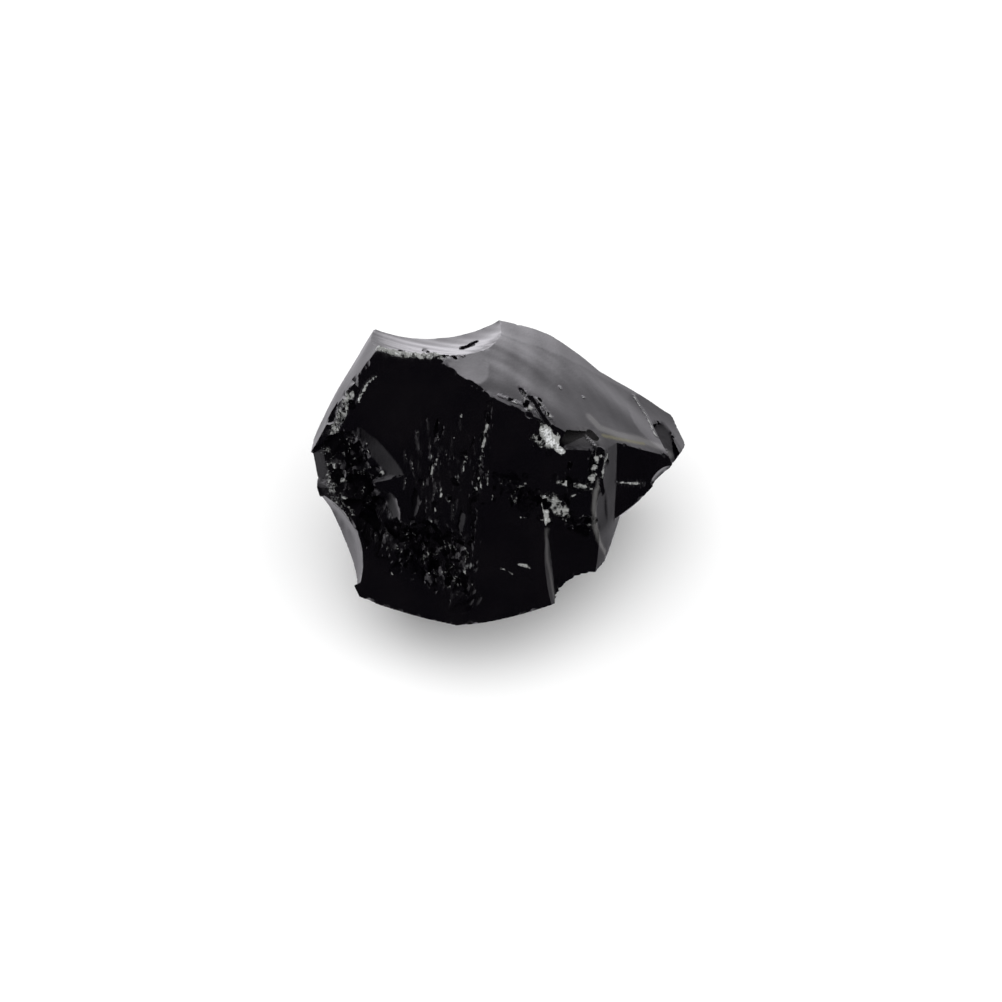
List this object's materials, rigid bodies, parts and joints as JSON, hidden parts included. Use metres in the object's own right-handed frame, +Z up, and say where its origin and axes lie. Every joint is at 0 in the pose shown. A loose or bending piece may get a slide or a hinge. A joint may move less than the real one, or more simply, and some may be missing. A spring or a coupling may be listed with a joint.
{
  "type": "obsidian chunk",
  "caption": "Broken chunk of black obsidian with curved shell-like fractures, sharp ridges, a thin wing at one end and a flat underside to rest on.",
  "frame": {"origin": "on the resting face, under the middle of the chunk's bounding box", "axes": "+Z up out of the surface it lies on, +X along its long way towards the wing, the broad black face looks towards -Y and upwards"},
  "size_m": [0.035, 0.0286, 0.0229],
  "materials": {
    "obsidian": "black volcanic glass, wet-looking gloss on clean breaks, whitish where crushed"
  },
  "bodies": {
    "root": {"obsidian_chunk": "obsidian"}
  },
  "joints": []
}
